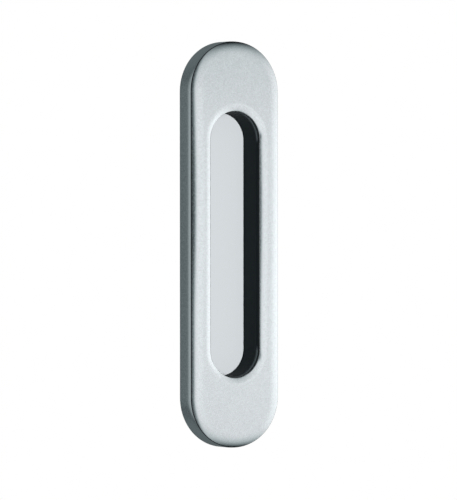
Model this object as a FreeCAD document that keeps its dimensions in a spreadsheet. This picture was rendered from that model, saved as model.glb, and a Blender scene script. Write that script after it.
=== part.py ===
import FreeCAD, Part
import math
import os
import re
import Sketcher

# A flush pull for a sliding pocket door: a domed metal cover with a long round-ended
# finger opening, snapped onto a moulded housing whose cup reaches into the door.
# The door's surface is the plane y = 0, the front faces -Y and the long axis is Z.
# Heights are counted out of the door, so a height is the same as -y.

# Driving sizes in millimetres, and in degrees for the draft and the sink.
SIZES = {
    "plate_length": 160.0,
    "plate_width": 40.0,
    "plate_thickness": 10.0,
    "crown_width": 5.1,
    "crown_rise": 1.6,
    "side_draft": 0.5,
    "edge_round": 0.4,
    "cover_wall": 1.6,
    "opening_inset": 27.6,
    "opening_width": 22.2,
    "rim_width": 3.3,
    "rim_drop": 0.5,
    "recess_depth": 13.1,
    "floor_thickness": 0.8,
    "floor_gap": 0.1,
    "cup_wall": 1.5,
    "cup_base_thickness": 1.6,
    "cup_base_round": 1.5,
    "collar_depth": 3.0,
    "collar_step": 0.2,
    "collar_lead": 0.15,
    "seat_gap": 0.15,
    "skin_gap": 0.4,
    "skin_thickness": 2.0,
    "frame_gap": 0.2,
    "frame_wall": 1.5,
    "frame_round": 1.8,
    "rib_thickness": 1.2,
    "tongue_inset": 41.0,
    "tongue_width": 10.0,
    "tongue_slot": 1.0,
    "tongue_root": 0.6,
    "shoulder_height": 1.8,
    "barb_length": 2.0,
    "barb_land": 0.3,
    "barb_reach": 0.6,
    "catch_gap": 0.15,
    "screw_inset": 14.0,
    "screw_diameter": 3.5,
    "screw_length": 20.0,
    "shank_diameter": 2.5,
    "thread_length": 12.0,
    "screw_tip_length": 4.0,
    "head_diameter": 7.0,
    "head_land": 0.2,
    "head_sunk": 0.15,
    "head_gap": 0.05,
    "hole_gap": 0.25,
    "boss_wall": 1.2,
    "drive_span": 4.0,
    "drive_slot": 0.9,
    "drive_depth": 1.4,
    "overcut": 1.0,
}
RIBS_ON_A_SIDE = 5
SINK_ANGLE = 90.0
SAME_PLACE = 0.01

# Places worked out from the sizes, as formulas that the sheet evaluates.
END_AXIS = "(plate_length - plate_width) / 2"
OPENING_AXIS = "(plate_length / 2 - opening_inset - opening_width / 2)"
EDGE_HEIGHT = "(plate_thickness - crown_rise)"
EDGE_RADIUS = f"(plate_width / 2 - {EDGE_HEIGHT} * tan(side_draft * 1deg))"
WEB_BACK = "(plate_thickness - cover_wall)"
RIM_HEIGHT = "(plate_thickness - rim_drop)"
COLLAR_FOOT = f"({RIM_HEIGHT} - collar_depth)"
FLOOR_HEIGHT = "(plate_thickness - recess_depth)"
SEAT_HEIGHT = f"({FLOOR_HEIGHT} - floor_thickness)"
CUP_BASE = f"({SEAT_HEIGHT} - cup_base_thickness)"
MOUTH_HEIGHT = f"({WEB_BACK} - seat_gap)"
SKIN_FRONT = f"({WEB_BACK} - skin_gap)"
SKIN_BACK = f"({SKIN_FRONT} - skin_thickness)"
CUP_WIDTH = "(opening_width + 2 * cup_wall)"
POCKET_WIDTH = "(opening_width - 2 * collar_step)"
FRAME_RADIUS = "(plate_width / 2 - cover_wall - frame_gap)"
FRAME_INSIDE = f"({FRAME_RADIUS} - frame_wall)"
FRAME_MIDDLE = f"({FRAME_RADIUS} - frame_wall / 2)"
BARB_TIP = f"({FRAME_RADIUS} + barb_reach)"
TONGUE_AXIS = "(plate_length / 2 - tongue_inset)"
RIB_SPACING = f"({TONGUE_AXIS} * 2 / {RIBS_ON_A_SIDE + 1})"
SCREW_AXIS = "(plate_length / 2 - screw_inset)"
HEAD_HEIGHT = f"({SKIN_FRONT} - head_sunk)"
SINK_DIAMETER = "(head_diameter + 2 * (head_sunk + head_land + head_gap))"
BOSS_DIAMETER = f"({SINK_DIAMETER} + 2 * boss_wall)"

doc = FreeCAD.newDocument("PocketDoorPull")
sheet = doc.addObject("Spreadsheet::Sheet", "Sizes")
for row, (size_name, size) in enumerate(SIZES.items(), start=1):
    sheet.set(f"A{row}", size_name)
    sheet.set(f"B{row}", str(size))
    sheet.setAlias(f"B{row}", size_name)
doc.recompute()


def formula(text):
    """Turns the size names in a formula into references to the sheet's cells."""
    return re.sub(r"[a-z_]+", lambda word: "Sizes." + word[0] if word[0] in SIZES else word[0], text)


def value(text):
    return float(sheet.evalExpression(formula(text)))


def origin_plane(body, role):
    return next(item for item in body.Origin.OriginFeatures if item.Role == role)


def new_body(label):
    body = doc.addObject("PartDesign::Body", label)
    body.Label = label
    return body


def new_sketch(body, name, role, offset="0"):
    """Lays a sketch on one of the body's own planes, moved along that plane's normal.

    The normal of XZ_Plane points out of the door, so there the offset is a height."""
    sketch = body.newObject("Sketcher::SketchObject", name)
    sketch.AttachmentSupport = [(origin_plane(body, role), "")]
    sketch.MapMode = "FlatFace"
    sketch.setExpression("AttachmentOffset.Base.z", formula(offset))
    return sketch


def dimension(sketch, kind, where, text):
    """Adds a dimension that follows a formula of the sheet's sizes."""
    index = sketch.addConstraint(Sketcher.Constraint(kind, *where, value(text)))
    sketch.setExpression(f"Constraints[{index}]", formula(text))


def add_line(sketch, start, end):
    return sketch.addGeometry(Part.LineSegment(FreeCAD.Vector(*start, 0), FreeCAD.Vector(*end, 0)), False)


def add_arc(sketch, centre, radius, start_angle, end_angle):
    circle = Part.Circle(FreeCAD.Vector(*centre, 0), FreeCAD.Vector(0, 0, 1), radius)
    return sketch.addGeometry(Part.ArcOfCircle(circle, start_angle, end_angle), False)


def add_polygon(sketch, corners):
    """Draws a closed outline of straight edges, with each corner held by its two formulas."""
    places = [(value(x), value(y)) for x, y in corners]
    edges = [add_line(sketch, start, end) for start, end in zip(places, places[1:] + places[:1])]
    for (x, y), edge, following in zip(corners, edges, edges[1:] + edges[:1]):
        sketch.addConstraint(Sketcher.Constraint("Coincident", edge, 2, following, 1))
        dimension(sketch, "DistanceX", (-1, 1, edge, 1), x)
        dimension(sketch, "DistanceY", (-1, 1, edge, 1), y)


def add_box(sketch, left, right, low, high):
    add_polygon(sketch, [(left, low), (right, low), (right, high), (left, high)])


def add_stadium(sketch, width, end_axis):
    """Draws two straight sides joined by half circles about the two end axes."""
    radius = value(width) / 2
    reach = value(end_axis)
    right = add_line(sketch, (radius, -reach), (radius, reach))
    top = add_arc(sketch, (0, reach), radius, 0, math.pi)
    left = add_line(sketch, (-radius, reach), (-radius, -reach))
    bottom = add_arc(sketch, (0, -reach), radius, math.pi, 2 * math.pi)
    for edge, following in ((right, top), (top, left), (left, bottom), (bottom, right)):
        sketch.addConstraint(Sketcher.Constraint("Tangent", edge, 2, following, 1))
    sketch.addConstraint(Sketcher.Constraint("PointOnObject", top, 3, -2))
    sketch.addConstraint(Sketcher.Constraint("Symmetric", top, 3, bottom, 3, -1, 1))
    sketch.addConstraint(Sketcher.Constraint("Equal", top, bottom))
    dimension(sketch, "Radius", (top,), f"{width} / 2")
    dimension(sketch, "DistanceY", (-1, 1, top, 3), end_axis)


def add_circle(sketch, height_on_axis, diameter):
    """Draws a circle whose centre lies on the long axis."""
    centre = FreeCAD.Vector(0, value(height_on_axis), 0)
    circle = Part.Circle(centre, FreeCAD.Vector(0, 0, 1), value(diameter) / 2)
    index = sketch.addGeometry(circle, False)
    sketch.addConstraint(Sketcher.Constraint("PointOnObject", index, 3, -2))
    dimension(sketch, "DistanceY", (-1, 1, index, 3), height_on_axis)
    dimension(sketch, "Diameter", (index,), diameter)


def extrude(body, kind, name, sketch, length, reverse=False, both_ways=False):
    """Adds a Pad, along the sketch's normal, or a Pocket, against it, of a given length."""
    feature = body.newObject(f"PartDesign::{kind}", name)
    feature.Profile = sketch
    feature.SideType = "Symmetric" if both_ways else "One side"
    feature.Reversed = reverse
    feature.setExpression("Length", formula(length))
    return feature


def turn(body, kind, name, sketch, angle, reverse=False):
    """Adds a Revolution or a Groove about the sketch's own vertical axis."""
    feature = body.newObject(f"PartDesign::{kind}", name)
    feature.Profile = sketch
    feature.ReferenceAxis = (sketch, ["V_Axis"])
    feature.Angle = angle
    feature.Reversed = reverse
    return feature


def mirror(body, name, feature, role):
    copy = body.newObject("PartDesign::Mirrored", name)
    copy.Originals = [feature]
    copy.MirrorPlane = (origin_plane(body, role), [""])
    body.Tip = copy


def ease_edges(body, kind, name, size, height, reach, end_axis):
    """Gives a Fillet or a Chamfer to the edges round a stadium at one height and reach from its spine."""
    doc.recompute()
    base = body.Tip
    spine = value(end_axis)
    names = []
    for number, edge in enumerate(base.Shape.Edges, start=1):
        middle = edge.valueAt((edge.FirstParameter + edge.LastParameter) / 2)
        places = [edge.valueAt(edge.FirstParameter), middle, edge.valueAt(edge.LastParameter)]
        apart = [math.hypot(place.x, max(abs(place.z) - spine, 0)) - value(reach) for place in places]
        above = [-place.y - value(height) for place in places]
        if max(map(abs, apart + above)) < SAME_PLACE:
            names.append(f"Edge{number}")
    eased = body.newObject(f"PartDesign::{kind}", name)
    eased.Base = (base, names)
    eased.setExpression("Radius" if kind == "Fillet" else "Size", formula(size))


def cover_section(body):
    """Half of the cover's section: crowned face, leaning side wall and the hollow behind them."""
    flat_end = value(f"{EDGE_RADIUS} - crown_width")
    edge = (value(EDGE_RADIUS), -value(EDGE_HEIGHT))
    face = -value("plate_thickness")
    back = -value(WEB_BACK)
    foot = value("plate_width / 2")
    inner_foot = value("plate_width / 2 - cover_wall")
    radius = value("(crown_width ^ 2 + crown_rise ^ 2) / (2 * crown_rise)")
    inner_radius = radius - value("cover_wall")
    centre = (flat_end, face + radius)
    down = 1.5 * math.pi
    turn_out = math.asin((edge[0] - flat_end) / radius)
    turn_in = math.asin((inner_foot - flat_end) / inner_radius)
    corner = (flat_end + inner_radius * math.sin(turn_in), centre[1] - inner_radius * math.cos(turn_in))

    sketch = new_sketch(body, "cover_section", "XY_Plane", END_AXIS)
    front = add_line(sketch, (0, face), (flat_end, face))
    crown = add_arc(sketch, centre, radius, down, down + turn_out)
    side = add_line(sketch, edge, (foot, 0))
    rim = add_line(sketch, (foot, 0), (inner_foot, 0))
    inner_side = add_line(sketch, (inner_foot, 0), corner)
    inner_crown = add_arc(sketch, centre, inner_radius, down, down + turn_in)
    inner_front = add_line(sketch, (flat_end, back), (0, back))
    middle = add_line(sketch, (0, back), (0, face))
    for join in (
        ("Tangent", front, 2, crown, 1),
        ("Coincident", crown, 2, side, 1),
        ("Coincident", side, 2, rim, 1),
        ("Coincident", rim, 2, inner_side, 1),
        ("Coincident", inner_side, 2, inner_crown, 2),
        ("Tangent", inner_crown, 1, inner_front, 1),
        ("Coincident", inner_front, 2, middle, 1),
        ("Coincident", middle, 2, front, 1),
        ("Coincident", crown, 3, inner_crown, 3),
        ("Horizontal", front),
        ("Horizontal", inner_front),
        ("Vertical", middle),
        ("Parallel", side, inner_side),
        ("PointOnObject", front, 1, -2),
        ("PointOnObject", side, 2, -1),
        ("PointOnObject", rim, 2, -1),
    ):
        sketch.addConstraint(Sketcher.Constraint(*join))
    dimension(sketch, "DistanceY", (-1, 1, front, 1), "-plate_thickness")
    dimension(sketch, "DistanceX", (-1, 1, front, 2), f"{EDGE_RADIUS} - crown_width")
    dimension(sketch, "DistanceX", (-1, 1, crown, 2), EDGE_RADIUS)
    dimension(sketch, "DistanceY", (-1, 1, crown, 2), f"-{EDGE_HEIGHT}")
    dimension(sketch, "DistanceX", (-1, 1, side, 2), "plate_width / 2")
    dimension(sketch, "DistanceX", (-1, 1, rim, 2), "plate_width / 2 - cover_wall")
    dimension(sketch, "DistanceY", (-1, 1, inner_front, 1), f"-{WEB_BACK}")
    return sketch


def rim_section(body):
    """What is cut away where the face rolls down to the opening."""
    inside = value("opening_width / 2")
    outside = value("opening_width / 2 + rim_width")
    face = -value("plate_thickness")
    rim = -value(RIM_HEIGHT)
    over = value("overcut")
    radius = value("(rim_width ^ 2 + rim_drop ^ 2) / (2 * rim_drop)")
    down = 1.5 * math.pi
    turn_in = math.asin((outside - inside) / radius)

    sketch = new_sketch(body, "rim_section", "XY_Plane", OPENING_AXIS)
    roll = add_arc(sketch, (outside, face + radius), radius, down - turn_in, down)
    up = add_line(sketch, (outside, face), (outside, face - over))
    across = add_line(sketch, (outside, face - over), (inside - over, face - over))
    back = add_line(sketch, (inside - over, face - over), (inside - over, rim))
    ledge = add_line(sketch, (inside - over, rim), (inside, rim))
    for join in (
        ("Coincident", roll, 2, up, 1),
        ("Coincident", up, 2, across, 1),
        ("Coincident", across, 2, back, 1),
        ("Coincident", back, 2, ledge, 1),
        ("Coincident", ledge, 2, roll, 1),
        ("Vertical", roll, 3, roll, 2),
        ("Vertical", up),
        ("Horizontal", across),
        ("Vertical", back),
        ("Horizontal", ledge),
    ):
        sketch.addConstraint(Sketcher.Constraint(*join))
    dimension(sketch, "DistanceX", (-1, 1, roll, 2), "opening_width / 2 + rim_width")
    dimension(sketch, "DistanceY", (-1, 1, roll, 2), "-plate_thickness")
    dimension(sketch, "DistanceX", (-1, 1, roll, 1), "opening_width / 2")
    dimension(sketch, "DistanceY", (-1, 1, roll, 1), f"-{RIM_HEIGHT}")
    dimension(sketch, "DistanceX", (-1, 1, back, 1), "opening_width / 2 - overcut")
    dimension(sketch, "DistanceY", (-1, 1, back, 1), "-(plate_thickness + overcut)")
    return sketch


def face_cover():
    """The cast metal cover: a round-ended shell with a crowned face and a rolled opening."""
    body = new_body("face_cover")
    section = cover_section(body)
    sides = extrude(body, "Pad", "long_side", section, f"2 * {END_AXIS}", reverse=True)
    mirror(body, "other_long_side", sides, "YZ_Plane")
    end = turn(body, "Revolution", "round_end", section, 180, reverse=True)
    mirror(body, "other_round_end", end, "XY_Plane")
    ease_edges(body, "Fillet", "softened_edge", "edge_round", EDGE_HEIGHT, EDGE_RADIUS, END_AXIS)

    outline = new_sketch(body, "opening_outline", "XZ_Plane", "plate_thickness + overcut")
    add_stadium(outline, "opening_width", OPENING_AXIS)
    extrude(body, "Pocket", "opening", outline, "cover_wall + 2 * overcut")

    rolled = rim_section(body)
    straight = extrude(body, "Pocket", "rolled_rim", rolled, f"2 * {OPENING_AXIS}")
    mirror(body, "other_rolled_rim", straight, "YZ_Plane")
    curved = turn(body, "Groove", "rolled_end", rolled, 180, reverse=True)
    mirror(body, "other_rolled_end", curved, "XY_Plane")

    catches = new_sketch(body, "catch_outlines", "YZ_Plane")
    for end_sign in (-1, 1):
        add_box(
            catches,
            "-(shoulder_height + barb_length + catch_gap)",
            "-(shoulder_height - catch_gap)",
            f"{end_sign} * {TONGUE_AXIS} - tongue_width / 2 - catch_gap",
            f"{end_sign} * {TONGUE_AXIS} + tongue_width / 2 + catch_gap",
        )
    extrude(body, "Pocket", "catches", catches, f"2 * ({BARB_TIP} + catch_gap)", both_ways=True)
    return body


def add_frame(body):
    """The skin behind the cover's face and the wall round it, cored out from the door's side."""
    outline = new_sketch(body, "frame_outline", "XZ_Plane")
    add_stadium(outline, f"(2 * {FRAME_RADIUS})", END_AXIS)
    frame = extrude(body, "Pad", "frame", outline, SKIN_FRONT)
    frame.setExpression("TaperAngle", formula("-side_draft * 1deg"))
    top_reach = f"({FRAME_RADIUS} - {SKIN_FRONT} * tan(side_draft * 1deg))"
    ease_edges(body, "Fillet", "rounded_front", "frame_round", SKIN_FRONT, top_reach, END_AXIS)

    hollow = new_sketch(body, "core_outline", "XZ_Plane")
    add_stadium(hollow, f"(2 * {FRAME_INSIDE})", END_AXIS)
    extrude(body, "Pocket", "core", hollow, SKIN_BACK, reverse=True)


def add_ribs(body):
    """Ribs tie the cup, the frame and the screw bosses together behind the skin."""
    rib_height = f"{SKIN_BACK} + skin_thickness / 2"
    side_ribs = new_sketch(body, "side_rib_outlines", "XZ_Plane")
    for place in range(-(RIBS_ON_A_SIDE // 2), RIBS_ON_A_SIDE // 2 + 1):
        middle = f"{place} * {RIB_SPACING}"
        low, high = f"{middle} - rib_thickness / 2", f"{middle} + rib_thickness / 2"
        add_box(side_ribs, f"-{FRAME_MIDDLE}", FRAME_MIDDLE, low, high)
    extrude(body, "Pad", "side_ribs", side_ribs, rib_height)

    long_ribs = new_sketch(body, "long_rib_outlines", "XZ_Plane")
    cross_ribs = new_sketch(body, "cross_rib_outlines", "XZ_Plane")
    reach = f"sqrt({FRAME_MIDDLE} ^ 2 - ({SCREW_AXIS} - {END_AXIS}) ^ 2)"
    for end_sign in (-1, 1):
        near = f"{end_sign} * ({OPENING_AXIS} + opening_width / 2 + cup_wall / 2)"
        far = f"{end_sign} * ({END_AXIS} + {FRAME_MIDDLE})"
        add_box(long_ribs, "-rib_thickness / 2", "rib_thickness / 2", near, far)
        low = f"{end_sign} * {SCREW_AXIS} - rib_thickness / 2"
        high = f"{end_sign} * {SCREW_AXIS} + rib_thickness / 2"
        add_box(cross_ribs, f"-{reach}", reach, low, high)
    extrude(body, "Pad", "long_ribs", long_ribs, rib_height)
    extrude(body, "Pad", "cross_ribs", cross_ribs, rib_height)

    bosses = new_sketch(body, "boss_outlines", "XZ_Plane")
    for end_sign in (-1, 1):
        add_circle(bosses, f"{end_sign} * {SCREW_AXIS}", BOSS_DIAMETER)
    extrude(body, "Pad", "bosses", bosses, rib_height)


def add_cup(body):
    """The finger cup: it carries the cover at its mouth and passes through the door's surface."""
    outline = new_sketch(body, "cup_outline", "XZ_Plane", MOUTH_HEIGHT)
    add_stadium(outline, CUP_WIDTH, OPENING_AXIS)
    extrude(body, "Pad", "cup", outline, f"{MOUTH_HEIGHT} - {CUP_BASE}", reverse=True)
    base_reach = f"{CUP_WIDTH} / 2"
    ease_edges(body, "Fillet", "rounded_base", "cup_base_round", CUP_BASE, base_reach, OPENING_AXIS)

    collar = new_sketch(body, "collar_outline", "XZ_Plane", MOUTH_HEIGHT)
    add_stadium(collar, "opening_width", OPENING_AXIS)
    extrude(body, "Pocket", "collar", collar, f"{MOUTH_HEIGHT} - {COLLAR_FOOT}")
    pocket = new_sketch(body, "pocket_outline", "XZ_Plane", MOUTH_HEIGHT)
    add_stadium(pocket, POCKET_WIDTH, OPENING_AXIS)
    extrude(body, "Pocket", "finger_pocket", pocket, f"{MOUTH_HEIGHT} - {SEAT_HEIGHT}")
    ledge_reach = f"{POCKET_WIDTH} / 2"
    ease_edges(body, "Chamfer", "collar_lead", "collar_lead", COLLAR_FOOT, ledge_reach, OPENING_AXIS)


def add_tongues(body):
    """Four tongues freed from the frame by slots, each with a barb that snaps into the cover."""
    slots = new_sketch(body, "slot_outlines", "XZ_Plane")
    for side in (-1, 1):
        for end_sign in (-1, 1):
            for edge_sign in (-1, 1):
                near = f"{end_sign} * {TONGUE_AXIS} + {edge_sign} * tongue_width / 2"
                far = f"{near} + {edge_sign} * tongue_slot"
                inner = f"{side} * ({FRAME_INSIDE} - overcut)"
                outer = f"{side} * ({FRAME_RADIUS} + overcut)"
                add_box(slots, inner, outer, near, far)
    extrude(body, "Pocket", "tongue_slots", slots, f"{SKIN_BACK} - tongue_root", reverse=True)

    barbs = new_sketch(body, "barb_sections", "XY_Plane", TONGUE_AXIS)
    for side in (-1, 1):
        corners = [
            (FRAME_MIDDLE, "-shoulder_height"),
            (BARB_TIP, "-shoulder_height"),
            (BARB_TIP, "-(shoulder_height + barb_land)"),
            (FRAME_MIDDLE, "-(shoulder_height + barb_length)"),
        ]
        add_polygon(barbs, [(f"{side} * {across}", height) for across, height in corners])
    barb = extrude(body, "Pad", "barbs", barbs, "tongue_width", both_ways=True)
    mirror(body, "other_barbs", barb, "XY_Plane")


def add_screw_holes(body):
    """Countersunk clearance holes through the skin and the bosses."""
    places = new_sketch(body, "hole_places", "XZ_Plane", SKIN_FRONT)
    for end_sign in (-1, 1):
        add_circle(places, f"{end_sign} * {SCREW_AXIS}", "screw_diameter")
    doc.recompute()
    hole = body.newObject("PartDesign::Hole", "screw_holes")
    hole.Profile = places
    hole.DepthType = "ThroughAll"
    hole.HoleCutType = "Countersink"
    hole.HoleCutCustomValues = True
    hole.HoleCutCountersinkAngle = SINK_ANGLE
    hole.setExpression("Diameter", formula("screw_diameter + 2 * hole_gap"))
    hole.setExpression("HoleCutDiameter", formula(SINK_DIAMETER))


def recess_housing():
    """The moulded housing that is screwed to the door and holds every other piece."""
    body = new_body("recess_housing")
    add_frame(body)
    add_ribs(body)
    add_cup(body)
    add_tongues(body)
    add_screw_holes(body)
    return body


def floor_plate():
    """The pressed metal plate bonded into the bottom of the cup."""
    body = new_body("floor_plate")
    outline = new_sketch(body, "floor_outline", "XZ_Plane", FLOOR_HEIGHT)
    add_stadium(outline, f"({POCKET_WIDTH} - 2 * floor_gap)", OPENING_AXIS)
    extrude(body, "Pad", "plate", outline, "floor_thickness", reverse=True)
    return body


def fixing_screws():
    """Two countersunk wood screws, whose threads are plain and as wide as the thread's crest."""
    body = new_body("upper_screw")
    section = new_sketch(body, "screw_section", "XY_Plane", SCREW_AXIS)
    neck = f"({HEAD_HEIGHT} - head_land - (head_diameter - shank_diameter) / 2)"
    tip = f"({HEAD_HEIGHT} - screw_length)"
    add_polygon(section, [
        ("0", f"-{HEAD_HEIGHT}"),
        ("head_diameter / 2", f"-{HEAD_HEIGHT}"),
        ("head_diameter / 2", f"-({HEAD_HEIGHT} - head_land)"),
        ("shank_diameter / 2", f"-{neck}"),
        ("shank_diameter / 2", f"-({tip} + thread_length)"),
        ("screw_diameter / 2", f"-({tip} + thread_length)"),
        ("screw_diameter / 2", f"-({tip} + screw_tip_length)"),
        ("0", f"-{tip}"),
    ])
    turn(body, "Revolution", "turned_screw", section, 360)
    for name, across, along in (("level_slot", "drive_span", "drive_slot"),
                                ("upright_slot", "drive_slot", "drive_span")):
        slot = new_sketch(body, f"{name}_outline", "XZ_Plane", HEAD_HEIGHT)
        low, high = f"{SCREW_AXIS} - {along} / 2", f"{SCREW_AXIS} + {along} / 2"
        add_box(slot, f"-{across} / 2", f"{across} / 2", low, high)
        extrude(body, "Pocket", name, slot, "drive_depth")

    lower = doc.addObject("Part::Mirroring", "lower_screw")
    lower.Source = body
    lower.Normal = FreeCAD.Vector(0, 0, 1)
    pair = doc.addObject("Part::Compound", "fixing_screws")
    pair.Label = "fixing_screws"
    pair.Links = [body, lower]
    return pair


sub_parts = [face_cover(), recess_housing(), floor_plate(), fixing_screws()]
doc.recompute()

for item in doc.Objects:
    if "Invalid" in item.State or "Error" in item.State:
        raise RuntimeError(f"{item.Label} failed to rebuild: {item.State}")
for sub_part in sub_parts:
    if sub_part.Shape.isNull() or not sub_part.Shape.isValid():
        raise RuntimeError(f"{sub_part.Label} has no sound shape")

os.makedirs("parts", exist_ok=True)
for sub_part in sub_parts:
    sub_part.Shape.exportStep(os.path.join("parts", f"{sub_part.Label}.step"))
    print(f"{sub_part.Label}: {len(sub_part.Shape.Solids)} solid, {sub_part.Shape.Volume:.1f} mm3")
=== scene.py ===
import math

import bmesh
import bpy
from mathutils import Matrix, Vector


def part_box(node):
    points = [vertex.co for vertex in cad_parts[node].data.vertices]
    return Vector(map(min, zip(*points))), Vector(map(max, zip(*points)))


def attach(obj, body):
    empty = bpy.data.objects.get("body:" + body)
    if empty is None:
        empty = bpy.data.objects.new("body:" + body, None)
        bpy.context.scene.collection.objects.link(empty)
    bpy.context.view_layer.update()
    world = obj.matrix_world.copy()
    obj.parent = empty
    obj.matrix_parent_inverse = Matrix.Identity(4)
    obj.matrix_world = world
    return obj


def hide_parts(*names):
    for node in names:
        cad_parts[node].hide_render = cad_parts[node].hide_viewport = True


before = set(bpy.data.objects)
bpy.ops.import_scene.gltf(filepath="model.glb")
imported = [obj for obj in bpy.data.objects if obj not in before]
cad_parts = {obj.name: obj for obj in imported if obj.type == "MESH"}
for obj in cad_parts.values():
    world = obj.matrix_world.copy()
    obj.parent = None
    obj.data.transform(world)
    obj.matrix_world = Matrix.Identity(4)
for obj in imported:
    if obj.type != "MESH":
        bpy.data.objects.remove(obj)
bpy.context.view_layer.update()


# Camera. The pull stands upright and is seen from its left, 30 degrees off
# square and from just above its middle, by a long lens that hardly tapers it.
MM = 0.001
CAMERA_YAW = math.radians(30.13)
CAMERA_DIP = math.radians(0.52)
CAMERA_ROLL = math.radians(-0.03)
CAMERA_DISTANCE = 1300 * MM
AIM_POINT = Vector((-2.11, -7.17, -2.12)) * MM
SENSOR_WIDTH = 36.0
LENS = 238.2
NEAR_CLIP = 10 * MM

ahead = Matrix.Rotation(-CAMERA_YAW, 3, "Z") @ Vector((0, math.cos(CAMERA_DIP), -math.sin(CAMERA_DIP)))
camera = bpy.data.objects.new("photo_camera", bpy.data.cameras.new("photo_camera"))
camera.data.sensor_width = SENSOR_WIDTH
camera.data.lens = LENS
camera.data.clip_start = NEAR_CLIP
camera.rotation_mode = "QUATERNION"
roll = Matrix.Rotation(CAMERA_ROLL, 3, "Z").to_quaternion()
camera.rotation_quaternion = ahead.to_track_quat("-Z", "Y") @ roll
camera.location = AIM_POINT - ahead * CAMERA_DISTANCE
bpy.context.scene.collection.objects.link(camera)
bpy.context.scene.camera = camera
bpy.context.scene.view_settings.view_transform = "Standard"


# Studio. A white room and a lamp beside the camera light the pull, a lamp above its
# back lights the ground, and metal mirrors a tent of graded cloth that goes round it.
ROOM_FOR_LIGHT = 0.12
ROOM_FOR_SIGHT = 1.0
FRONT_LAMP_SIZE = 350 * MM
FRONT_LAMP_POWER = 21.0
FRONT_LAMP_PLACE = (-22, 0, 1500 * MM)
BACK_LAMP_SPREAD = math.radians(50)
BACK_LAMP_STRENGTH = 3.5
BACK_LAMP_PLACE = (180, 45, 3000 * MM)
GROUND_RADIUS = 1800 * MM
GROUND_LEVEL = -260 * MM
GROUND_COLOUR = (0.9, 0.9, 0.9)
GROUND_ROUGHNESS = 0.9
STAGE_SEGMENTS = 96
TENT_RADIUS = 300 * MM
TENT_PEAK = 1.5
TENT_SHADE_TINT = (0.8, 0.965, 1.0)
# The shade by height counts for more on the tent's right than on its left, and the
# back glows where that shade leaves it dark.
TENT_LEAN = 0.25
LEAN_FROM = math.radians(30)
BACK_GLOW = 0.3
# The dark gap at the left of the camera draws back from it above and below its middle.
GAP_MIDDLE = 18 * MM
GAP_REACH = 48 * MM
GAP_DRAWN_BACK = math.radians(10)
# Each stop is an angle in degrees and the cloth's brightness there, first going round
# the pull from straight behind it by its left, then rising from below it.
ROUND_STOPS = [
    (-180, 0.15), (-164, 0.18), (-152, 0.13), (-146, 0.17), (-138, 0.47), (-131, 0.58), (-112, 0.65),
    (-85, 0.8), (-62, 0.8), (-50, 0.4), (-43, 0.09), (-36, 0.05), (-29, 0.12), (-24, 0.22), (-19, 0.5),
    (-14, 0.88), (-9, 1.08), (0, 1.14), (18, 1.15), (26, 1.12), (33, 1.06), (42, 1.08), (52, 1.15),
    (62, 1.3), (80, 1.44), (98, 1.42), (114, 1.0), (130, 0.25), (155, 0.13), (180, 0.15),
]
HEIGHT_STOPS = [
    (-90, 0.0), (-68, 0.02), (-61, 0.24), (-50, 0.58), (-42, 0.76), (-32, 0.9), (-20, 0.97), (-8, 1.03),
    (4, 1.02), (12, 0.96), (16, 0.865), (24, 0.83), (34, 0.73), (42, 0.58), (50, 0.4), (58, 0.2),
    (66, 0.02), (90, 0.0),
]


class Value:
    """A node's output in an expression, where each operator adds the Math node that works it out."""

    def __init__(self, shader, socket):
        self.shader = shader
        self.socket = socket

    def worked(self, operation, *others):
        return self.shader.add("ShaderNodeMath", {"operation": operation}, dict(enumerate((self, *others))))

    def __add__(self, other):
        return self.worked("ADD", other)

    __radd__ = __add__

    def __mul__(self, other):
        return self.worked("MULTIPLY", other)

    __rmul__ = __mul__

    def __sub__(self, other):
        return self.worked("SUBTRACT", other)

    def __rsub__(self, other):
        return self * -1 + other

    def __truediv__(self, other):
        return self.worked("DIVIDE", other)

    def __rtruediv__(self, other):
        return self.worked("POWER", -1) * other


class Shader:
    """A node tree that is emptied and written as expressions."""

    def __init__(self, owner):
        owner.use_nodes = True
        self.tree = owner.node_tree
        self.tree.nodes.clear()

    def add(self, kind, settings=None, inputs=None, output=0):
        """Adds a node: its settings first, then the values or links of its sockets."""
        node = self.tree.nodes.new(kind)
        for name, setting in (settings or {}).items():
            setattr(node, name, setting)
        for name, given in (inputs or {}).items():
            if isinstance(given, Value):
                self.tree.links.new(given.socket, node.inputs[name])
            else:
                node.inputs[name].default_value = given
        return Value(self, node.outputs[output]) if node.outputs else None

    def parts(self, kind, inputs, *names):
        """Adds a node and gives those of its outputs that are named."""
        node = self.add(kind, None, inputs).socket.node
        return [Value(self, node.outputs[name]) for name in names]

    def mixed(self, factor, first, second):
        """Adds a mix of two colours, each a node's output or a plain triple."""
        ends = [end if isinstance(end, Value) else (*end, 1) for end in (first, second)]
        inputs = {"Factor": factor, "A": ends[0], "B": ends[1]}
        return self.add("ShaderNodeMix", {"data_type": "RGBA"}, inputs, 2)


world = bpy.data.worlds.new("white_room")
bpy.context.scene.world = world
room = Shader(world)
to_eye, in_gloss, through = room.parts(
    "ShaderNodeLightPath", None, "Is Camera Ray", "Is Glossy Ray", "Is Transmission Ray"
)
seen = to_eye.worked("MAXIMUM", in_gloss.worked("MAXIMUM", through))
strength = ROOM_FOR_LIGHT + seen * (ROOM_FOR_SIGHT - ROOM_FOR_LIGHT)
background = room.add("ShaderNodeBackground", None, {"Color": (1, 1, 1, 1), "Strength": strength})
room.add("ShaderNodeOutputWorld", None, {"Surface": background})


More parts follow.
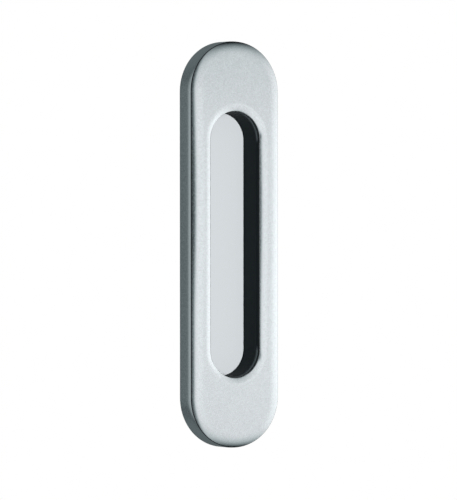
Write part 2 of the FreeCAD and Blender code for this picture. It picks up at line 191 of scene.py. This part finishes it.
def hang_lamp(lamp, azimuth, elevation, distance):
    """Hangs a lamp that faces the pull and isn't mirrored. Azimuth 0 is in front, 90 to the right."""
    across, up = math.radians(azimuth), math.radians(elevation)
    away = Vector((math.sin(across) * math.cos(up), -math.cos(across) * math.cos(up), math.sin(up)))
    holder = bpy.data.objects.new(lamp.name, lamp)
    holder.location = away * distance
    holder.rotation_mode = "QUATERNION"
    holder.rotation_quaternion = away.to_track_quat("Z", "Y")
    holder.visible_camera = False
    holder.visible_glossy = False
    bpy.context.scene.collection.objects.link(holder)


front_lamp = bpy.data.lights.new("front_lamp", "AREA")
front_lamp.size = FRONT_LAMP_SIZE
front_lamp.energy = FRONT_LAMP_POWER
hang_lamp(front_lamp, *FRONT_LAMP_PLACE)
back_lamp = bpy.data.lights.new("back_lamp", "SUN")
back_lamp.angle = BACK_LAMP_SPREAD
back_lamp.energy = BACK_LAMP_STRENGTH
hang_lamp(back_lamp, *BACK_LAMP_PLACE)


def cloth_shade(cloth, angle, stops, span):
    """Reads the tent's brightness at an angle from a smooth ramp that spans so many degrees."""
    along = cloth.add("ShaderNodeValToRGB", None, {"Fac": angle / math.radians(span) + 0.5})
    ramp = along.socket.node.color_ramp
    ramp.interpolation = "CARDINAL"
    while len(ramp.elements) < len(stops):
        ramp.elements.new(1)
    for element, (place, brightness) in zip(ramp.elements, stops):
        element.position = place / span + 0.5
        element.color = (*[brightness / TENT_PEAK] * 3, 1)
    return along * TENT_PEAK


def link_stage(sketch, name, material):
    """Links a piece of the studio's scenery."""
    piece = bpy.data.objects.new(name, bpy.data.meshes.new(name))
    sketch.to_mesh(piece.data)
    sketch.free()
    piece.data.materials.append(material)
    bpy.context.scene.collection.objects.link(piece)
    return piece


tent_cloth = bpy.data.materials.new("tent_cloth")
cloth = Shader(tent_cloth)
spot = cloth.add("ShaderNodeTexCoord", None, None, "Object")
right, inward, up = cloth.parts("ShaderNodeSeparateXYZ", {"Vector": spot}, "X", "Y", "Z")
around = right.worked("ARCTAN2", inward * -1)
lean = 1 + (around - LEAN_FROM).worked("SINE") * TENT_LEAN
rising = (up / TENT_RADIUS).worked("ARCSINE") * lean
off_middle = ((up - GAP_MIDDLE) / GAP_REACH).worked("POWER", 2).worked("MINIMUM", 1)
in_front = (inward / -TENT_RADIUS).worked("MAXIMUM", 0)
behind = (inward / TENT_RADIUS).worked("MAXIMUM", 0)
height_shade = cloth_shade(cloth, rising, HEIGHT_STOPS, 180)
drawn = around + off_middle * in_front * GAP_DRAWN_BACK
round_shade = cloth_shade(cloth, drawn, ROUND_STOPS, 360)
bright = round_shade * height_shade + behind * (1 - height_shade) * BACK_GLOW
tint = cloth.mixed(bright, TENT_SHADE_TINT, (1, 1, 1))
shone = cloth.add("ShaderNodeVectorMath", {"operation": "SCALE"}, {"Vector": tint, "Scale": bright})
glow = cloth.add("ShaderNodeEmission", None, {"Color": shone, "Strength": 1.0})
cloth.add("ShaderNodeOutputMaterial", None, {"Surface": glow})
ball = bmesh.new()
bmesh.ops.create_uvsphere(
    ball, u_segments=STAGE_SEGMENTS, v_segments=STAGE_SEGMENTS // 2, radius=TENT_RADIUS
)
bmesh.ops.reverse_faces(ball, faces=ball.faces)
tent = link_stage(ball, "light_tent", tent_cloth)
for ray in ("camera", "diffuse", "shadow", "transmission"):
    setattr(tent, f"visible_{ray}", False)

floor_paint = bpy.data.materials.new("floor_paint")
paint = Shader(floor_paint)
matt = paint.add(
    "ShaderNodeBsdfPrincipled", None, {"Base Color": (*GROUND_COLOUR, 1), "Roughness": GROUND_ROUGHNESS}
)
paint.add("ShaderNodeOutputMaterial", None, {"Surface": matt})
ground = bmesh.new()
bmesh.ops.create_circle(ground, cap_ends=True, segments=STAGE_SEGMENTS, radius=GROUND_RADIUS)
bmesh.ops.translate(ground, vec=(0, 0, GROUND_LEVEL), verts=ground.verts)
floor = link_stage(ground, "floor", floor_paint)
floor.visible_glossy = False
floor.visible_diffuse = False


# Face cover. A pressed and satin plated metal shell with a crowned face, whose edge
# rolls down into the finger opening; it snaps over the housing's four tongues.
COVER_LOW, COVER_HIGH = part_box("face_cover")
HALF_WIDTH = COVER_HIGH.x
THICKNESS = -COVER_LOW.y
END_AXIS = COVER_HIGH.z - HALF_WIDTH
SIDE_DRAFT = math.radians(0.5)
CROWN_WIDTH = 5.1 * MM
CROWN_RISE = 1.6 * MM
ROLL_DEPTH = 2.6 * MM
ROLL_TURN = math.radians(7.0)
EDGE_ROUND = 0.4 * MM
COVER_WALL = 1.6 * MM
OPENING_HALF = 11.1 * MM
OPENING_AXIS = 41.3 * MM
RIM_WIDTH = 3.3 * MM
RIM_TURN = math.radians(14)
LIP_WIDTH = 2.2 * MM
LIP_TURN = math.radians(18)
RIM_BREAK = 0.35 * MM
CATCH_HEIGHTS = (39 * MM, -39 * MM)
CATCH_WIDTH = 10.3 * MM
CATCH_FRONT = -3.95 * MM
CATCH_BACK = -1.65 * MM
CATCH_REACH = 18.95 * MM
# Painted shade: the cover's colour is darkened on the wall of the finger opening and along a narrow line at
# the creased edge round the face.
SHADE_PAST_OPENING = 0.06 * MM
SHADE_ON_FACE = 0.2 * MM
SHADE_ON_SIDE = 0.18 * MM
PAINTED_SHADE_DARKNESS = 0.06
COVER_TINT = (0.61, 0.65, 0.667)
FINE_GRAIN = 1900.0
FINE_DETAIL = 3.0
SOFT_GRAIN = 850.0
SOFT_DETAIL = 2.0
SOFT_SHARE = 0.45
FINE_ON_GLOSS = 0.1
SOFT_ON_GLOSS = 0.05
GRAIN_ON_TINT = 0.07
GRAIN_BUMP = 0.1
GRAIN_LIFT = 0.01 * MM
ROUND_STEPS = 96
ARC_STEPS = 14
ROLL_STEPS = 5
EDGE_STEPS = 6
SHARP_FROM = math.radians(28)
MERGE = 0.001 * MM
NEAR = 0.01 * MM


def pen_line(sketch, vert, across, depth):
    """Draws a straight edge of a section from one point to the next."""
    end = bmesh.ops.extrude_vert_indiv(sketch, verts=[vert])["verts"][0]
    end.co = Vector((across, depth, vert.co.z))
    return end


def pen_arc(sketch, vert, centre, angle, steps):
    """Draws an arc of a section about a centre, by turning its point in the section's plane."""
    hub = Vector((centre[0], centre[1], vert.co.z))
    turned = bmesh.ops.spin(sketch, geom=[vert], cent=hub, axis=(0, 0, 1), angle=angle, steps=steps)
    return turned["geom_last"][0]


def carry_round(sketch, section, end_axis, steps):
    """Carries a section at the lower right once round a stadium, along its sides and about its ends."""
    moving = list(section)
    for side in (1, -1):
        run = Vector((0, 0, 2 * end_axis * side))
        moving = bmesh.ops.spin(sketch, geom=moving, dvec=run, angle=0, steps=1)["geom_last"]
        hub = (0, 0, end_axis * side)
        moving = bmesh.ops.spin(
            sketch, geom=moving, cent=hub, axis=(0, -1, 0), angle=math.pi, steps=steps
        )["geom_last"]
    bmesh.ops.remove_doubles(sketch, verts=sketch.verts, dist=MERGE)


def finish_piece(sketch, name, material, node):
    """Turns a sketch into a smooth shaded piece that stands in place of its CAD node."""
    bmesh.ops.recalc_face_normals(sketch, faces=sketch.faces)
    piece = bpy.data.objects.new(name, bpy.data.meshes.new(name))
    sketch.to_mesh(piece.data)
    sketch.free()
    piece.data.materials.append(material)
    bpy.context.scene.collection.objects.link(piece)
    piece.data.shade_smooth()
    piece.data.set_sharp_from_angle(angle=SHARP_FROM)
    weighting = piece.modifiers.new("even_shading", "WEIGHTED_NORMAL")
    weighting.keep_sharp = True
    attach(piece, "root")
    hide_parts(node)
    return piece


def noise(shader, place, scale, detail):
    """Noise that is fixed to the piece."""
    return shader.add("ShaderNodeTexNoise", None, {"Vector": place, "Scale": scale, "Detail": detail})


def shaded(shader, shade, colour, spread):
    """A colour that goes from darker to lighter by a share of itself as the shade goes from 0 to 1."""
    darker = [part * (1 - spread) for part in colour]
    lighter = [part * (1 + spread) for part in colour]
    return shader.mixed(shade, darker, lighter)


def satin_chrome(name, tint, roughness, metallic, sheen, grain, painted_shade_lines=None):
    """Satin plated metal with a fine grain. Dark lines, if any, are painted shade along its cut and creased
    edges.
    """
    material = bpy.data.materials.new(name)
    shader = Shader(material)
    place = shader.add("ShaderNodeTexCoord", None, None, "Object")
    fine = noise(shader, place, FINE_GRAIN, FINE_DETAIL)
    soft = noise(shader, place, SOFT_GRAIN, SOFT_DETAIL)
    gloss = roughness + (fine - 0.5) * (FINE_ON_GLOSS * grain) + (soft - 0.5) * (SOFT_ON_GLOSS * grain)
    shade = (fine - 0.5) * grain + (soft - 0.5) * (SOFT_SHARE * grain) + 0.5
    colour = shaded(shader, shade, tint, GRAIN_ON_TINT)
    if painted_shade_lines:
        # The painted shade lines darken the colour to a small share of the tint.
        colour = shader.mixed(painted_shade_lines(shader, place), colour, [part * PAINTED_SHADE_DARKNESS for part in tint])
    lift = shader.add(
        "ShaderNodeBump", None, {"Strength": GRAIN_BUMP * grain, "Distance": GRAIN_LIFT, "Height": fine}
    )
    metal = shader.add(
        "ShaderNodeBsdfPrincipled",
        None,
        {
            "Base Color": colour, "Metallic": metallic, "Roughness": gloss, "Specular IOR Level": sheen,
            "Normal": lift,
        },
    )
    shader.add("ShaderNodeOutputMaterial", None, {"Surface": metal})
    return material


cover = bmesh.new()
face = -THICKNESS
inner_face = COVER_WALL - THICKNESS
edge_height = THICKNESS - CROWN_RISE
roll_radius = ROLL_DEPTH / (math.sin(SIDE_DRAFT + ROLL_TURN) - math.sin(SIDE_DRAFT))
roll_start = HALF_WIDTH - (edge_height - ROLL_DEPTH) * math.tan(SIDE_DRAFT)
roll_hub = (
    roll_start - roll_radius * math.cos(SIDE_DRAFT),
    ROLL_DEPTH - edge_height + roll_radius * math.sin(SIDE_DRAFT),
)
edge_half = roll_hub[0] + roll_radius * math.cos(SIDE_DRAFT + ROLL_TURN)
crown_start = edge_half - CROWN_WIDTH
crown_radius = (CROWN_WIDTH**2 + CROWN_RISE**2) / (2 * CROWN_RISE)
inner_radius = crown_radius - COVER_WALL
inner_foot = HALF_WIDTH - COVER_WALL
crown_turn = math.asin(CROWN_WIDTH / crown_radius)
inner_turn = math.asin((inner_foot - crown_start) / inner_radius)
crown_hub = (crown_start, face + crown_radius)
inner_shoulder = (
    crown_start + inner_radius * math.sin(inner_turn),
    crown_hub[1] - inner_radius * math.cos(inner_turn),
)

start = cover.verts.new((crown_start, face, -END_AXIS))
shoulder = pen_arc(cover, start, crown_hub, crown_turn, ARC_STEPS)
roll_end = pen_arc(cover, shoulder, roll_hub, ROLL_TURN, ROLL_STEPS)
foot = pen_line(cover, roll_end, HALF_WIDTH, 0)
inside = pen_line(cover, foot, inner_foot, 0)
under = pen_line(cover, inside, *inner_shoulder)
pen_arc(cover, under, crown_hub, -inner_turn, ARC_STEPS)
carry_round(cover, cover.verts[:] + cover.edges[:], END_AXIS, ROUND_STEPS)

rim_radius = (RIM_WIDTH - LIP_WIDTH) / math.sin(RIM_TURN)
lip_radius = LIP_WIDTH / (math.sin(RIM_TURN + LIP_TURN) - math.sin(RIM_TURN))
widening = lip_radius - rim_radius
rim_start = OPENING_HALF + RIM_WIDTH
lip_hub = (
    rim_start + widening * math.sin(RIM_TURN),
    face + rim_radius + widening * math.cos(RIM_TURN),
)
rim_drop = lip_hub[1] - lip_radius * math.cos(RIM_TURN + LIP_TURN) - face
rim = bmesh.new()
start = rim.verts.new((rim_start, face, -OPENING_AXIS))
lip = pen_arc(rim, start, (rim_start, face + rim_radius), -RIM_TURN, ARC_STEPS)
lip_end = pen_arc(rim, lip, lip_hub, -LIP_TURN, ARC_STEPS)
pen_line(rim, lip_end, OPENING_HALF, inner_face)
carry_round(rim, rim.verts[:] + rim.edges[:], OPENING_AXIS, ROUND_STEPS)
rolled = bpy.data.meshes.new("rolled_rim")
rim.to_mesh(rolled)
rim.free()
cover.from_mesh(rolled)
bpy.data.meshes.remove(rolled)

for depth in (face, inner_face):
    open_edges = [
        edge for edge in cover.edges
        if edge.is_boundary and all(abs(vert.co.y - depth) < MERGE for vert in edge.verts)
    ]
    bmesh.ops.triangle_fill(
        cover, edges=open_edges, use_beauty=True, use_dissolve=False, normal=(0, -1, 0)
    )


def edges_round(sketch, half_width, end_axis, depth):
    """The edges that run round a stadium at one depth and one reach from its spine."""
    found = []
    for edge in sketch.edges:
        reaches = [math.hypot(vert.co.x, max(abs(vert.co.z) - end_axis, 0)) for vert in edge.verts]
        off = [abs(reach - half_width) for reach in reaches]
        off += [abs(vert.co.y - depth) for vert in edge.verts]
        if max(off) < NEAR:
            found.append(edge)
    return found


def round_off(sketch, edges, width, steps):
    """Rounds the chosen edges."""
    bmesh.ops.bevel(
        sketch, geom=edges, offset=width, offset_type="OFFSET", segments=steps, profile=0.5,
        affect="EDGES", material=-1, clamp_overlap=False,
    )


def cut_across(sketch, faces, place, way):
    """Cuts flat faces by a plane and gives those that lie on the side that the plane looks."""
    rims = list(dict.fromkeys(edge for part in faces for edge in part.edges))
    split = bmesh.ops.bisect_plane(sketch, geom=faces + rims, plane_co=place, plane_no=way)["geom"]
    cut_faces = [part for part in split if isinstance(part, bmesh.types.BMFace)]
    return [part for part in cut_faces if (part.calc_center_median() - Vector(place)).dot(way) > 0]


edge_turn = math.pi / 2 - SIDE_DRAFT - ROLL_TURN - crown_turn
edge_setback = EDGE_ROUND * math.tan(edge_turn / 2)
round_off(cover, edges_round(cover, edge_half, END_AXIS, -edge_height), edge_setback, EDGE_STEPS)
round_off(cover, edges_round(cover, OPENING_HALF, OPENING_AXIS, face + rim_drop), RIM_BREAK, EDGE_STEPS)


def past_stadium(across, height, half_width, end_axis):
    """How far a point lies outside a stadium round the long axis."""
    beyond = (height.worked("ABSOLUTE") - end_axis).worked("MAXIMUM", 0.0)
    return (across * across + beyond * beyond).worked("SQRT") - half_width


def cover_painted_shade(shader, place):
    """One where shade is painted, on the cut wall of the opening and along the creased edge round the face,
    and zero elsewhere.
    """
    across, depth, height = shader.parts("ShaderNodeSeparateXYZ", {"Vector": place}, "X", "Y", "Z")
    outside = past_stadium(across, height, OPENING_HALF, OPENING_AXIS)
    opening_shade = outside.worked("LESS_THAN", SHADE_PAST_OPENING)
    reach = past_stadium(across, height, edge_half, END_AXIS)
    low = depth + edge_height
    crease_shade = reach.worked("GREATER_THAN", -SHADE_ON_FACE) * low.worked("LESS_THAN", SHADE_ON_SIDE)
    return opening_shade.worked("MAXIMUM", crease_shade)


# Four catches are sunk in the inside of the side wall, where the tongues' barbs snap in.
for height in CATCH_HEIGHTS:
    for side in (1, -1):
        wall = [
            part for part in cover.faces
            if all(abs(vert.co.x - inner_foot * side) < MERGE for vert in part.verts)
        ]
        for level, upward in ((height - CATCH_WIDTH / 2, 1), (height + CATCH_WIDTH / 2, -1)):
            wall = cut_across(cover, wall, (0, 0, level), (0, 0, upward))
        for depth, backward in ((CATCH_FRONT, 1), (CATCH_BACK, -1)):
            wall = cut_across(cover, wall, (0, depth, 0), (0, backward, 0))
        sunk = bmesh.ops.extrude_face_region(cover, geom=wall)["geom"]
        sunk_verts = [part for part in sunk if isinstance(part, bmesh.types.BMVert)]
        bmesh.ops.translate(cover, vec=((CATCH_REACH - inner_foot) * side, 0, 0), verts=sunk_verts)
        bmesh.ops.delete(cover, geom=wall, context="FACES_ONLY")

cover_chrome = satin_chrome(
    "satin_chrome", COVER_TINT, roughness=0.16, metallic=1.0, sheen=0.5, grain=2.6, painted_shade_lines=cover_painted_shade
)
finish_piece(cover, "satin_cover", cover_chrome, "face_cover")


# Finger floor. A flat plate blanked from satin plated sheet with its edge eased,
# bonded to the bottom of the housing's cup.
FLOOR_LOW, FLOOR_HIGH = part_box("floor_plate")
FLOOR_EASE = 0.25 * MM
EASE_STEPS = 3
FLOOR_TINT = (0.7, 0.738, 0.762)

plate_half = FLOOR_HIGH.x
plate_axis = FLOOR_HIGH.z - plate_half
plate = bmesh.new()
plate.verts.new((plate_half, FLOOR_LOW.y, -plate_axis))
carry_round(plate, plate.verts[:], plate_axis, ROUND_STEPS)
bmesh.ops.contextual_create(plate, geom=plate.edges[:])
sunk = bmesh.ops.extrude_face_region(plate, geom=plate.faces[:])["geom"]
sunk_verts = [part for part in sunk if isinstance(part, bmesh.types.BMVert)]
bmesh.ops.translate(plate, vec=(0, FLOOR_HIGH.y - FLOOR_LOW.y, 0), verts=sunk_verts)
round_off(plate, edges_round(plate, plate_half, plate_axis, FLOOR_LOW.y), FLOOR_EASE, EASE_STEPS)
floor_chrome = satin_chrome(
    "floor_satin_chrome", FLOOR_TINT, roughness=0.5, metallic=0.0, sheen=0.1, grain=0.1
)
finish_piece(plate, "finger_floor", floor_chrome, "floor_plate")


# Recess housing. A black nylon moulding of one piece: the cup for the fingers, the
# frame and ribs behind the cover and the tongues that hold it, screwed to the door.
NYLON_COLOUR = (0.0095, 0.014, 0.0156)
NYLON_ROUGHNESS = 0.55
NYLON_SHEEN = 0.03
NYLON_GRAIN = 3800.0
NYLON_CLOUDS = 120.0
GRAIN_ON_ROUGHNESS = 0.18
CLOUDS_ON_ROUGHNESS = 0.08
CLOUDS_ON_COLOUR = 0.2
NYLON_BUMP = 0.25
NYLON_LIFT = 0.03 * MM
# A painted glint: the nylon's colour is lightened in a band round the ledge in the cup's wall, only towards
# the cup's ends.
LEDGE_DEPTH = -7.0 * MM
GLINT_BAND = 0.75 * MM
GLINT_FROM = 40 * MM
GLINT_FADE = 2 * MM
PAINTED_GLINT_COLOUR = (0.12, 0.145, 0.155)

nylon = bpy.data.materials.new("black_nylon")
shader = Shader(nylon)
place = shader.add("ShaderNodeTexCoord", None, None, "Object")
spark = noise(shader, place, NYLON_GRAIN, FINE_DETAIL)
cloud = noise(shader, place, NYLON_CLOUDS, SOFT_DETAIL)
gloss = NYLON_ROUGHNESS + (spark - 0.5) * GRAIN_ON_ROUGHNESS + (cloud - 0.5) * CLOUDS_ON_ROUGHNESS
lift = shader.add("ShaderNodeBump", None, {"Strength": NYLON_BUMP, "Distance": NYLON_LIFT, "Height": spark})
depth, height = shader.parts("ShaderNodeSeparateXYZ", {"Vector": place}, "Y", "Z")
# The painted glint is a band at the ledge's depth that fades in towards the cup's ends.
ledge = 1 - (depth - LEDGE_DEPTH).worked("ABSOLUTE") / GLINT_BAND
ends = (height.worked("ABSOLUTE") - GLINT_FROM) / GLINT_FADE
painted_glint = ledge.worked("MAXIMUM", 0.0) * ends.worked("MAXIMUM", 0.0).worked("MINIMUM", 1.0)
colour = shader.mixed(painted_glint, shaded(shader, cloud, NYLON_COLOUR, CLOUDS_ON_COLOUR), PAINTED_GLINT_COLOUR)
moulding = shader.add(
    "ShaderNodeBsdfPrincipled",
    None,
    {"Base Color": colour, "Roughness": gloss, "Normal": lift, "Specular IOR Level": NYLON_SHEEN},
)
shader.add("ShaderNodeOutputMaterial", None, {"Surface": moulding})
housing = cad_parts["recess_housing"]
housing.data.materials.clear()
housing.data.materials.append(nylon)


# Fixing screws. Two zinc plated wood screws sit in the housing's countersinks under
# the cover; their threads bite into the door behind it.
SCREW_AXIS = 66 * MM
SHANK_END = 0.1 * MM
CORE_START = -0.15 * MM
THREAD_START = 0.15 * MM
SCREW_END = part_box("fixing_screws")[1].y
THREAD_SHORT = 0.4 * MM
CREST_RADIUS = 1.75 * MM
ROOT_RADIUS = 1.15 * MM
THREAD_FOOT = 0.95 * ROOT_RADIUS
TAPER_OUTSIDE = 0.9 * ROOT_RADIUS
TAPER_LEAST = 0.05
THREAD_PITCH = 1.6 * MM
THREAD_ROOT_WIDTH = 0.75 * MM
THREAD_CREST_WIDTH = 0.1 * MM
TIP_LENGTH = 4.0 * MM
TURN_STEPS = 24
ZINC_TINT = (0.62, 0.63, 0.64)

tip_start = SCREW_END - TIP_LENGTH
crest_start = THREAD_START + (THREAD_ROOT_WIDTH - THREAD_CREST_WIDTH) / 2
turns = (SCREW_END - THREAD_SHORT - THREAD_START - THREAD_ROOT_WIDTH) / THREAD_PITCH
zinc = satin_chrome("zinc_plated_steel", ZINC_TINT, roughness=0.35, metallic=1.0, sheen=0.5, grain=0.6)
screws = bmesh.new()
screws.from_mesh(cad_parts["fixing_screws"].data)
bmesh.ops.remove_doubles(screws, verts=screws.verts, dist=MERGE)
kept = bmesh.ops.bisect_plane(
    screws, geom=screws.verts[:] + screws.edges[:] + screws.faces[:],
    plane_co=(0, SHANK_END, 0), plane_no=(0, 1, 0), clear_outer=True,
)
cut = [part for part in kept["geom_cut"] if isinstance(part, bmesh.types.BMEdge)]
bmesh.ops.holes_fill(screws, edges=cut, sides=0)

for end in (1, -1):
    axis_point = Vector((0, 0, SCREW_AXIS * end))
    core = [screws.verts.new(axis_point + Vector((0, CORE_START, 0)))]
    for across, depth in ((ROOT_RADIUS, CORE_START), (ROOT_RADIUS, tip_start), (0, SCREW_END)):
        core.append(pen_line(screws, core[-1], across, depth))
    profile = core + [screws.edges.get(pair) for pair in zip(core, core[1:])]
    bmesh.ops.spin(
        screws, geom=profile, cent=axis_point, axis=(0, 1, 0),
        angle=2 * math.pi, steps=TURN_STEPS, use_merge=True,
    )
    low = screws.verts.new(axis_point + Vector((THREAD_FOOT, THREAD_START, 0)))
    crest_low = pen_line(screws, low, CREST_RADIUS, crest_start)
    crest_high = pen_line(screws, crest_low, CREST_RADIUS, crest_start + THREAD_CREST_WIDTH)
    high = pen_line(screws, crest_high, THREAD_FOOT, THREAD_START + THREAD_ROOT_WIDTH)
    ridge = bmesh.ops.contextual_create(screws, geom=[low, crest_low, crest_high, high])["faces"]
    bmesh.ops.spin(
        screws, geom=ridge, cent=axis_point, axis=(0, 1, 0), dvec=(0, THREAD_PITCH / TURN_STEPS, 0),
        angle=2 * math.pi * turns, steps=round(turns * TURN_STEPS),
    )
    # The thread tapers with the core along the tip.
    for vert in screws.verts:
        beyond = vert.co.y - tip_start
        off_axis = Vector((vert.co.x, vert.co.z - axis_point.z))
        if beyond > MERGE and TAPER_OUTSIDE < off_axis.length < SCREW_AXIS:
            kept_share = max(1 - beyond / TIP_LENGTH, TAPER_LEAST)
            vert.co.x = off_axis.x * kept_share
            vert.co.z = axis_point.z + off_axis.y * kept_share
bmesh.ops.remove_doubles(screws, verts=screws.verts, dist=MERGE)
finish_piece(screws, "threaded_screws", zinc, "fixing_screws")
